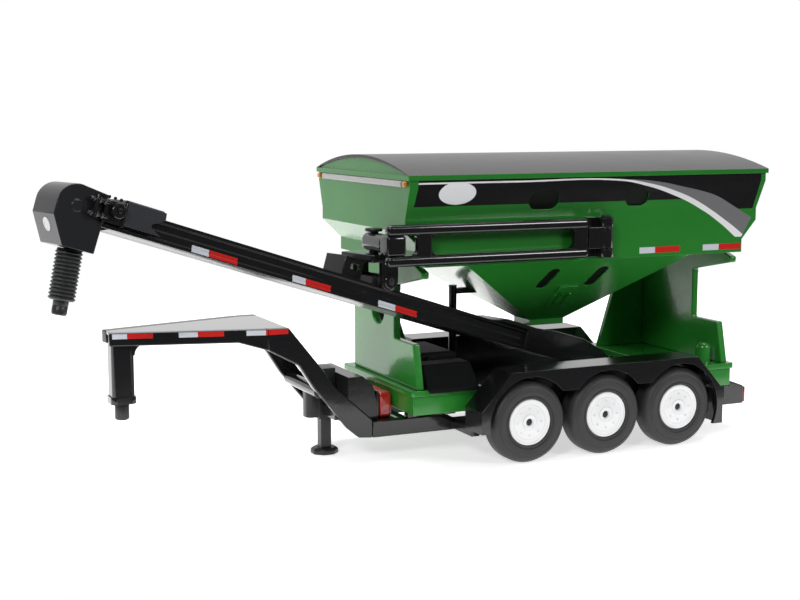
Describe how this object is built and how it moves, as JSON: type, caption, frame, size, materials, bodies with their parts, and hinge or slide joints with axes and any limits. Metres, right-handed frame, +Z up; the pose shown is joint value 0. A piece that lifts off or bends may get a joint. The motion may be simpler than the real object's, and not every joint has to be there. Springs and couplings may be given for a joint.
{
  "type": "seed tender trailer scale model",
  "caption": "Scale model of a gooseneck seed tender trailer: covered hopper on stands, wheels under fenders, swing arm and side conveyor with a ribbed spout.",
  "frame": {"origin": "middle of the bounding box in X and Y, on the ground under the tyres", "axes": "+X towards the trailer's rear, -Y its left side where the conveyor is, +Z up"},
  "size_m": [0.117, 0.045, 0.0457],
  "materials": {
    "green_paint": "gloss",
    "black_paint": "gloss",
    "black_plastic": "satin",
    "tarp": "satin",
    "tyre": "satin",
    "wheel_white": "satin",
    "axle_steel": "satin",
    "pin_black": "satin",
    "red_plastic": "gloss",
    "lamp_red": "gloss",
    "amber": "gloss",
    "silver_strip": "satin",
    "window_black": "gloss"
  },
  "bodies": {
    "frame": {"arm_bracket": "black_paint", "arm_pin": "pin_black", "axle_carriers": "black_paint", "chassis_rails": "black_paint", "control_box": "black_plastic", "coupler_post": "black_paint", "cross_members": "black_paint", "deck_supports": "black_paint", "engine_cowl": "black_plastic", "fender_brackets": "black_paint", "fender_left": "black_paint", "fender_right": "black_paint", "front_pedestal": "green_paint", "fuel_tank": "red_plastic", "hitch_pin": "pin_black", "hopper_shell": "green_paint", "jack_tube": "black_plastic", "light_strip": "silver_strip", "marker_lamps": "amber", "neck_beams": "black_paint", "neck_cross_bars": "black_paint", "neck_legs": "black_paint", "neck_plate": "black_paint", "pedestal_decks": "green_paint", "pedestal_gussets": "green_paint", "pedestal_skirts": "green_paint", "pump_engine": "black_plastic", "rear_bumper": "black_paint", "rear_pedestal": "green_paint", "sight_windows": "window_black", "support_tube": "black_plastic", "tail_lamps": "lamp_red", "tarp_cover": "tarp"},
    "arm": {"arm_barrel": "black_paint", "arm_rails": "black_paint", "arm_posts": "black_paint", "arm_cross_block": "black_paint"},
    "swivel": {"swivel_yoke": "black_paint", "swivel_pin": "pin_black", "tilt_pin": "pin_black"},
    "conveyor": {"conveyor_trough": "black_plastic", "belt_pan": "black_plastic", "lift_bracket": "black_plastic", "head_housing": "black_plastic", "head_cover": "black_plastic", "drive_motor": "black_plastic", "belt_tensioner": "black_plastic", "inlet_hood": "black_plastic", "spout_bellows": "black_plastic", "spout_tip": "black_plastic"},
    "jack": {"jack_leg": "black_plastic"},
    "wheels_front": {"tyres_front": "tyre", "hubs_front": "wheel_white", "axle_front": "axle_steel"},
    "wheels_middle": {"tyres_middle": "tyre", "hubs_middle": "wheel_white", "axle_middle": "axle_steel"},
    "wheels_rear": {"tyres_rear": "tyre", "hubs_rear": "wheel_white", "axle_rear": "axle_steel"}
  },
  "joints": [
    {"name": "arm_swing", "type": "hinge", "parent": "frame", "child": "arm", "pos_m": [0.02704, -0.01493, 0.0333], "axis": [0, 0, 1], "range_deg": [0, 30]},
    {"name": "conveyor_swivel", "type": "hinge", "parent": "arm", "child": "swivel", "pos_m": [-0.00796, -0.00703, 0.0278], "axis": [0, 0, 1], "range_deg": [-5, 1.5]},
    {"name": "conveyor_tilt", "type": "hinge", "parent": "swivel", "child": "conveyor", "pos_m": [-0.00796, -0.00703, 0.0278], "axis": [-0.2419, 0.9703, 0], "range_deg": [0, 2.5]},
    {"name": "jack_slide", "type": "slide", "parent": "frame", "child": "jack", "axis": [0, 0, 1], "range_m": [0, 0.0035]},
    {"name": "axle_front_roll", "type": "hinge", "parent": "frame", "child": "wheels_front", "pos_m": [0.01314, 0.00257, 0.00625], "axis": [0, 1, 0], "continuous": true},
    {"name": "axle_middle_roll", "type": "hinge", "parent": "frame", "child": "wheels_middle", "pos_m": [0.02654, 0.00257, 0.00625], "axis": [0, 1, 0], "continuous": true},
    {"name": "axle_rear_roll", "type": "hinge", "parent": "frame", "child": "wheels_rear", "pos_m": [0.03994, 0.00257, 0.00625], "axis": [0, 1, 0], "continuous": true}
  ]
}
